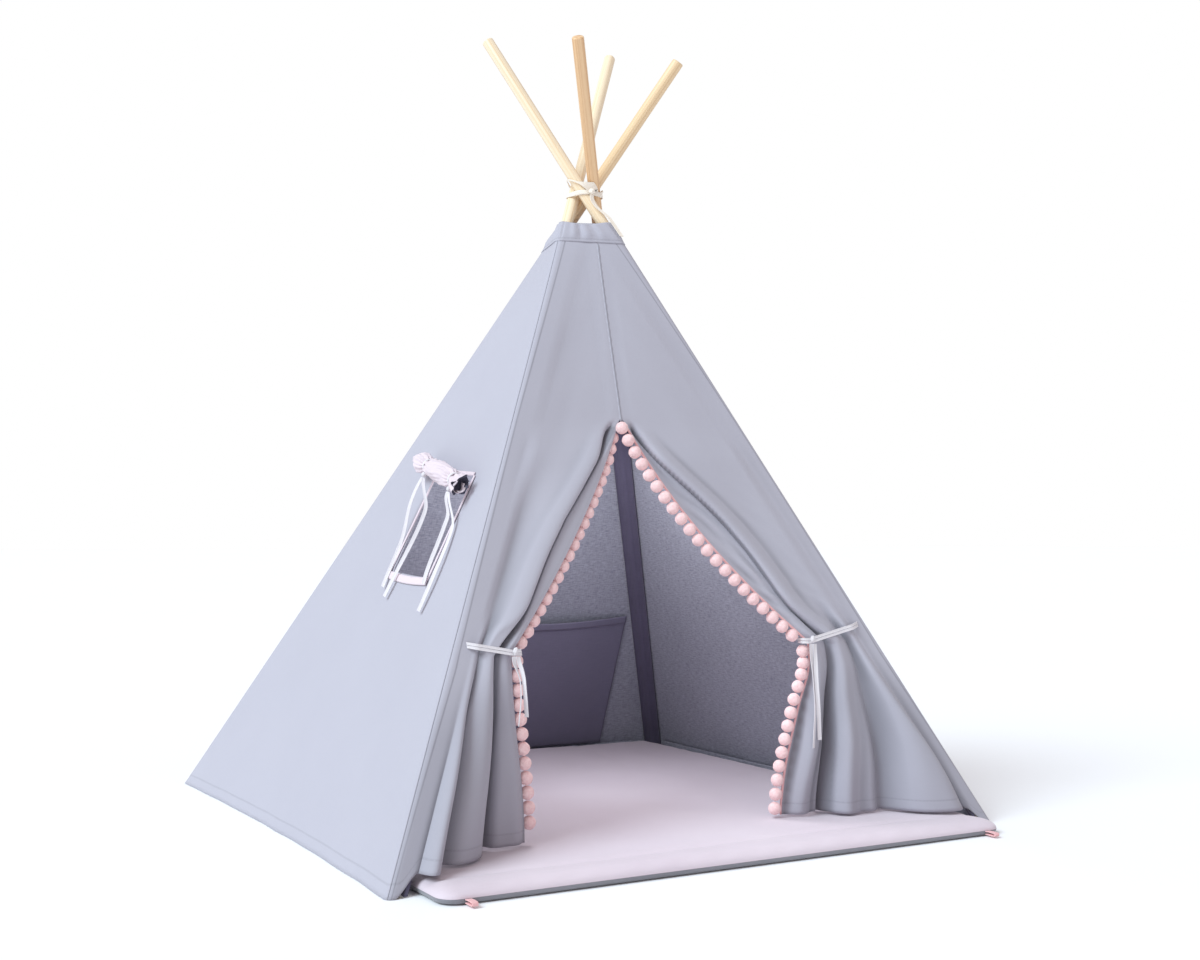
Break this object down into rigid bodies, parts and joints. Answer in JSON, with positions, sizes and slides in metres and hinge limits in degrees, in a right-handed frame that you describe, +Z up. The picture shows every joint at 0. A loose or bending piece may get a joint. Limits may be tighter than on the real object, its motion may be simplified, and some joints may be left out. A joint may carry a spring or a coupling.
{
  "type": "kids teepee",
  "caption": "Pole-framed play teepee with a sewn cotton cover, tied-back pompom curtains, a rolled-up window, a pocket and a padded floor mat.",
  "frame": {"origin": "on the floor, at the middle of the square that the four pole feet make; the mat's underside lies in the plane z = 0", "axes": "+Z up; the doorway faces -Y; +X is to the right of someone who looks in through the doorway's front, towards +Y"},
  "size_m": [1.2, 1.3051, 1.5548],
  "materials": {
    "pine": "smooth natural pine, satin",
    "pine_honey": "smooth natural pine, warmer board",
    "cover_grey": "plain woven cotton, light grey",
    "pocket_grey": "plain woven cotton, dark grey",
    "sleeve_grey": "plain woven cotton, dark grey",
    "lining_pink": "plain woven cotton, pale pink",
    "tape_white": "woven cotton tape, off-white",
    "pompom_pink": "wool-like pile balls on a narrow braid, pink",
    "mat_pink": "quilted cotton, pale pink",
    "mat_grey": "plain woven cotton, grey",
    "cord_cream": "flat cotton tape, cream"
  },
  "bodies": {
    "mat": {"mat_top": "mat_pink", "mat_underside": "mat_grey", "mat_loop_left": "mat_pink", "mat_loop_right": "mat_pink"},
    "cover": {"wall_left": "cover_grey", "wall_right": "cover_grey", "wall_back": "cover_grey", "hem_left": "cover_grey", "hem_right": "cover_grey", "hem_back": "cover_grey", "curtain_left": "cover_grey", "curtain_right": "cover_grey", "front_seam": "cover_grey", "top_casing": "cover_grey", "pompom_trim_left": "pompom_pink", "pompom_trim_right": "pompom_pink", "tieback_left": "tape_white", "tieback_right": "tape_white", "tie_knot_left": "tape_white", "tie_knot_right": "tape_white", "tie_tail_left_a": "tape_white", "tie_tail_left_b": "tape_white", "tie_tail_right_a": "tape_white", "tie_tail_right_b": "tape_white", "window_binding": "lining_pink", "window_roll": "lining_pink", "window_strap_back": "tape_white", "window_strap_front": "tape_white", "window_knot_back": "tape_white", "window_knot_front": "tape_white", "window_ribbon_back_a": "tape_white", "window_ribbon_back_b": "tape_white", "window_ribbon_front_a": "tape_white", "window_ribbon_front_b": "tape_white", "pocket": "pocket_grey", "pocket_hem": "pocket_grey", "lashing": "cord_cream", "lashing_knot": "cord_cream", "lashing_tail": "cord_cream"},
    "pole_fl": {"pole_fl": "pine", "sleeve_fl": "sleeve_grey"},
    "pole_fr": {"pole_fr": "pine", "sleeve_fr": "sleeve_grey"},
    "pole_br": {"pole_br": "pine_honey", "sleeve_br": "sleeve_grey"},
    "pole_bl": {"pole_bl": "pine", "sleeve_bl": "sleeve_grey"}
  },
  "joints": [
    {"name": "crossing_lift", "type": "slide", "parent": "mat", "child": "cover", "axis": [0, 0, 1], "range_m": [0, 0.85], "deforming": ["wall_left", "wall_right", "wall_back", "curtain_left", "curtain_right", "hem_left", "hem_right", "hem_back", "sleeve_fl", "sleeve_fr", "sleeve_br", "sleeve_bl", "pompom_trim_left", "pompom_trim_right", "tieback_left", "tieback_right", "top_casing", "lashing"]},
    {"name": "pole_fl_fold", "type": "hinge", "parent": "cover", "child": "pole_fl", "pos_m": [-0.01357, -0.09323, 1.211], "axis": [0.6523, -0.758, 0], "range_deg": [0, 28.91]},
    {"name": "pole_fr_fold", "type": "hinge", "parent": "cover", "child": "pole_fr", "pos_m": [-0.01268, -0.12549, 1.211], "axis": [0.6095, 0.7928, 0], "range_deg": [0, 28.91]},
    {"name": "pole_br_fold", "type": "hinge", "parent": "cover", "child": "pole_br", "pos_m": [0.01621, -0.12204, 1.211], "axis": [-0.7792, 0.6268, 0], "range_deg": [0, 33.85]},
    {"name": "pole_bl_fold", "type": "hinge", "parent": "cover", "child": "pole_bl", "pos_m": [0.01559, -0.09523, 1.211], "axis": [-0.7496, -0.6619, 0], "range_deg": [0, 33.85]}
  ],
  "couplings": [
    {"joint": "pole_fl_fold", "follows": "crossing_lift", "rad_per_m": 0.59349},
    {"joint": "pole_fr_fold", "follows": "crossing_lift", "rad_per_m": 0.59349},
    {"joint": "pole_br_fold", "follows": "crossing_lift", "rad_per_m": 0.69495},
    {"joint": "pole_bl_fold", "follows": "crossing_lift", "rad_per_m": 0.69495}
  ]
}
